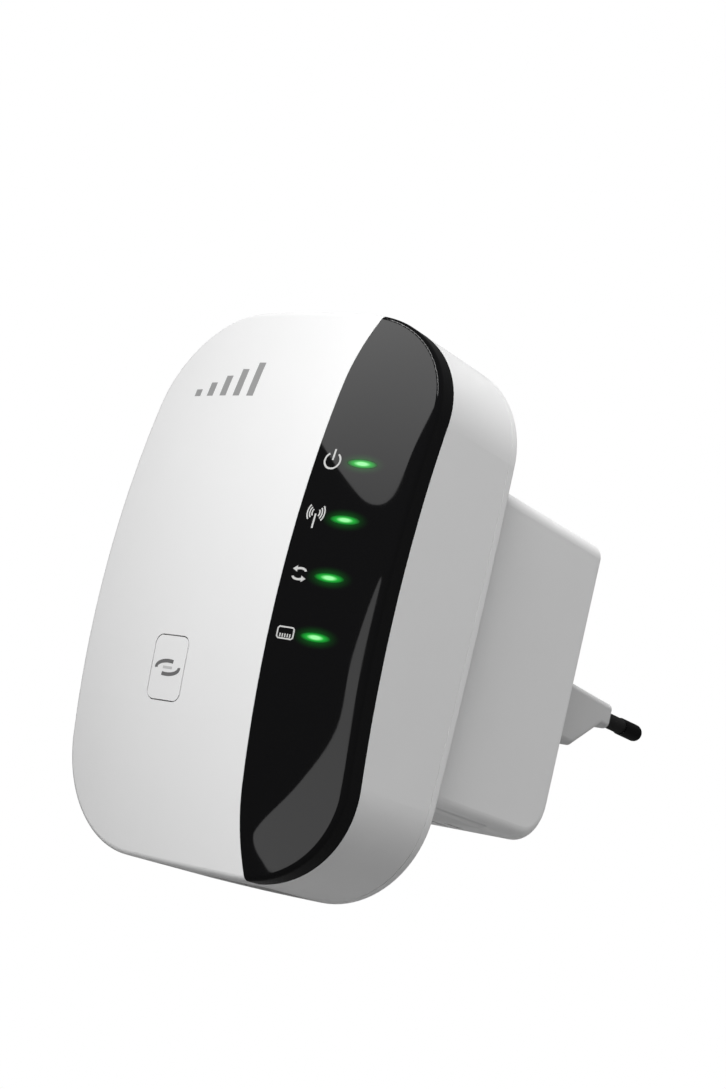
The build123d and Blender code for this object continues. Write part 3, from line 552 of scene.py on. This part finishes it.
printed("print_power", WHITE_INK, "casing", draw_power)
printed("print_wireless", WHITE_INK, "casing", draw_wireless)
printed("print_link", WHITE_INK, "casing", draw_link)
printed("print_lan", WHITE_INK, "casing", draw_lan)
printed("print_key", GREY_INK, "wps_key", draw_key)
printed("print_key_bar", BAR_INK, "wps_key", draw_key_bar)
printed("print_signal_bars", PALE_INK, "casing", draw_mark)


# ---------------------------------------------------------------- studio


def stage_mesh(name, vertices, faces, material):
    mesh = bpy.data.meshes.new(name)
    mesh.from_pydata(vertices, [], faces)
    piece = bpy.data.objects.new(name, mesh)
    bpy.context.scene.collection.objects.link(piece)
    mesh.materials.append(material)
    return piece


FLOOR_Z = -1.0
FLOOR_REACH = 2.5
FLOOR_SIDES = 96
floor_mat, _, _ = new_material("floor_pale", (0.62, 0.62, 0.62), 0.9)
floor_turns = [math.tau * i / FLOOR_SIDES for i in range(FLOOR_SIDES)]
floor_rim = [(FLOOR_REACH * math.cos(a), FLOOR_REACH * math.sin(a), FLOOR_Z) for a in floor_turns]
floor = stage_mesh("floor", floor_rim, [tuple(range(FLOOR_SIDES))], floor_mat)
floor.visible_glossy = False

LIGHT_AIM = Vector((0, -0.09, 0))


def area_light(name, direction, distance, size, power):
    """Soft light that shines at the object from a direction and isn't mirrored by it."""
    aim = Vector(direction).normalized()
    light = bpy.data.lights.new(name, "AREA")
    light.shape = "SQUARE"
    light.size = size
    light.energy = power
    lamp = bpy.data.objects.new(name, light)
    lamp.location = LIGHT_AIM + aim * distance
    lamp.rotation_mode = "QUATERNION"
    lamp.rotation_quaternion = aim.to_track_quat("Z", "Y")
    lamp.visible_glossy = False
    bpy.context.scene.collection.objects.link(lamp)


area_light("key_light", (0.30, -0.76, 0.59), distance=1.3, size=0.8, power=20.2)
area_light("top_light", (-0.1, 0.35, 1.0), distance=1.2, size=0.9, power=8.0)
area_light("rim_light", (0.12, 0.97, 0.2), distance=1.2, size=0.5, power=9.0)

SKY_FROM_BELOW = 0.03
SKY_FROM_ABOVE = 0.25
SKY_IN_REFLECTIONS = 0.06


def studio_world():
    """White backdrop; softer light from above than from below; dim to reflections."""
    world = bpy.data.worlds.new("studio")
    bpy.context.scene.world = world
    world.use_nodes = True
    tree = world.node_tree
    tree.nodes.clear()
    out = tree.nodes.new("ShaderNodeOutputWorld")
    path = tree.nodes.new("ShaderNodeLightPath")
    coords = tree.nodes.new("ShaderNodeTexCoord")
    split = tree.nodes.new("ShaderNodeSeparateXYZ")
    height = tree.nodes.new("ShaderNodeMapRange")
    height.inputs["From Min"].default_value = -1.0
    height.inputs["To Min"].default_value = SKY_FROM_BELOW
    height.inputs["To Max"].default_value = SKY_FROM_ABOVE
    tree.links.new(coords.outputs["Generated"], split.inputs["Vector"])
    tree.links.new(split.outputs["Z"], height.inputs["Value"])
    soft = tree.nodes.new("ShaderNodeBackground")
    tree.links.new(height.outputs["Result"], soft.inputs["Strength"])
    dim = tree.nodes.new("ShaderNodeBackground")
    dim.inputs["Strength"].default_value = SKY_IN_REFLECTIONS
    white = tree.nodes.new("ShaderNodeBackground")
    white.inputs["Strength"].default_value = 1.0
    for node in (soft, dim, white):
        node.inputs["Color"].default_value = (1, 1, 1, 1)
    glossy_mix = tree.nodes.new("ShaderNodeMixShader")
    camera_mix = tree.nodes.new("ShaderNodeMixShader")
    tree.links.new(path.outputs["Is Glossy Ray"], glossy_mix.inputs["Fac"])
    tree.links.new(soft.outputs["Background"], glossy_mix.inputs[1])
    tree.links.new(dim.outputs["Background"], glossy_mix.inputs[2])
    tree.links.new(path.outputs["Is Camera Ray"], camera_mix.inputs["Fac"])
    tree.links.new(glossy_mix.outputs["Shader"], camera_mix.inputs[1])
    tree.links.new(white.outputs["Background"], camera_mix.inputs[2])
    tree.links.new(camera_mix.outputs["Shader"], out.inputs["Surface"])


studio_world()

bpy.context.scene.view_settings.view_transform = "Standard"


# ---------------------------------------------------------------- camera

VIEW_AZIMUTH = math.radians(37.883)
VIEW_ELEVATION = math.radians(-10.733)
VIEW_ROLL = math.radians(13.754)
VIEW_DISTANCE = 404.5 * MM
VIEW_TARGET = Vector((13.26, -106.3, 9.6)) * MM
LENS_LENGTH = 70.07
SENSOR_WIDTH = 36.0

# Direction from the target to the camera
VIEW_BACK = Vector((
    math.sin(VIEW_AZIMUTH) * math.cos(VIEW_ELEVATION),
    -math.cos(VIEW_AZIMUTH) * math.cos(VIEW_ELEVATION),
    math.sin(VIEW_ELEVATION),
))
EYE = VIEW_TARGET + VIEW_BACK * VIEW_DISTANCE


def make_camera():
    """Camera below and to the right of the front, tilted about its own axis."""
    level = Vector((math.cos(VIEW_AZIMUTH), math.sin(VIEW_AZIMUTH), 0))
    upright = VIEW_BACK.cross(level)
    right = level * math.cos(VIEW_ROLL) + upright * math.sin(VIEW_ROLL)
    top = upright * math.cos(VIEW_ROLL) - level * math.sin(VIEW_ROLL)
    data = bpy.data.cameras.new("camera")
    data.sensor_width = SENSOR_WIDTH
    data.lens = LENS_LENGTH
    data.clip_start = 0.01
    camera = bpy.data.objects.new("camera", data)
    turn = Matrix((right, top, VIEW_BACK)).transposed()
    camera.matrix_world = Matrix.Translation(EYE) @ turn.to_4x4()
    bpy.context.scene.collection.objects.link(camera)
    bpy.context.scene.camera = camera


make_camera()


# ---------------------------------------------------------------- light cards
# Three glowing cards that only reflections see. Two stand where the strip mirrors them to the
# camera, and are given by the outline of their reflection on the strip, in mm from the middle
# of the body. The third lights a fine line along the strip's rounded edge.

CARD_DISTANCE = 0.55
UPPER_REFLECTION = [
    (11, 54), (11, 30), (13, 27), (21, 20), (27, 16), (31, 18),
    (32, 28), (33, 40), (30, 47.5), (24, 51.5), (16, 54),
]
LOWER_REFLECTION = [
    (33, 3), (31, -12), (30.5, -25), (25, -35.5), (18, -44), (17, -47),
    (19, -50), (22.5, -51.5), (31, -44), (33, -34), (33, -15),
]

EDGE_X = 30 * MM
EDGE_Z = BODY_Z + 46 * MM
EDGE_CARD_HALF = 22 * MM
EDGE_CARD_STEPS = 16
EDGE_DIRECTIONS = [(0.24, -0.69, 0.65), (-0.02, -0.52, 0.86), (-0.41, -0.28, 0.85)]


def smooth_outline(points, steps=6):
    """Closed curve through the points."""
    curve = []
    count = len(points)
    for i in range(count):
        a, b, c, d = (Vector(points[(i + k) % count]) for k in (-1, 0, 1, 2))
        for k in range(steps):
            t = k / steps
            bend = (2 * a - 5 * b + 4 * c - d) * t**2 + (3 * b - a - 3 * c + d) * t**3
            curve.append((2 * b + (c - a) * t + bend) / 2)
    return curve


def mirrored(x, z):
    """Where the card must be for the strip's face at x, z to show it to the camera."""
    place = front_point(x, z)
    normal = (front_point(x, z, MM) - place).normalized()
    view = (EYE - place).normalized()
    return place + (2 * normal.dot(view) * normal - view) * CARD_DISTANCE


def light_card(name, corners, faces, low_glow, high_glow):
    """Card whose glow changes evenly with height."""
    mat = bpy.data.materials.new(name)
    mat.use_nodes = True
    tree = mat.node_tree
    tree.nodes.clear()
    out = tree.nodes.new("ShaderNodeOutputMaterial")
    glow = tree.nodes.new("ShaderNodeEmission")
    coords = tree.nodes.new("ShaderNodeTexCoord")
    split = tree.nodes.new("ShaderNodeSeparateXYZ")
    height = tree.nodes.new("ShaderNodeMapRange")
    height.inputs["From Min"].default_value = min(c.z for c in corners)
    height.inputs["From Max"].default_value = max(c.z for c in corners)
    height.inputs["To Min"].default_value = low_glow
    height.inputs["To Max"].default_value = high_glow
    tree.links.new(coords.outputs["Object"], split.inputs["Vector"])
    tree.links.new(split.outputs["Z"], height.inputs["Value"])
    tree.links.new(height.outputs["Result"], glow.inputs["Strength"])
    tree.links.new(glow.outputs["Emission"], out.inputs["Surface"])
    card = stage_mesh(name, corners, faces, mat)
    card.visible_camera = False
    card.visible_diffuse = False
    card.visible_shadow = False
    card.visible_transmission = False


def reflection_card(name, outline, low_glow, high_glow):
    """Card whose reflection on the strip has the outline."""
    corners = [mirrored(p.x * MM, p.y * MM + BODY_Z) for p in smooth_outline(outline)]
    light_card(name, corners, [tuple(range(len(corners)))], low_glow, high_glow)


def edge_card(glow):
    """Narrow curved card that the rounded upper right edge of the strip shows as a fine line."""
    first, middle, last = (Vector(d).normalized() for d in EDGE_DIRECTIONS)
    start = front_point(EDGE_X, EDGE_Z)
    path = []
    for i in range(EDGE_CARD_STEPS + 1):
        t = i / EDGE_CARD_STEPS
        path.append((first * (1 - t)**2 + middle * 2 * t * (1 - t) + last * t**2).normalized())
    corners = []
    for i, aim in enumerate(path):
        along = path[min(i + 1, EDGE_CARD_STEPS)] - path[max(i - 1, 0)]
        side = along.cross(aim).normalized() * EDGE_CARD_HALF
        corners += [start + aim * CARD_DISTANCE - side, start + aim * CARD_DISTANCE + side]
    faces = [(2 * i, 2 * i + 1, 2 * i + 3, 2 * i + 2) for i in range(EDGE_CARD_STEPS)]
    light_card("edge_card", corners, faces, glow, glow)


reflection_card("upper_card", UPPER_REFLECTION, 1.35, 2.4)
reflection_card("lower_card", LOWER_REFLECTION, 1.35, 1.2)
edge_card(7.0)
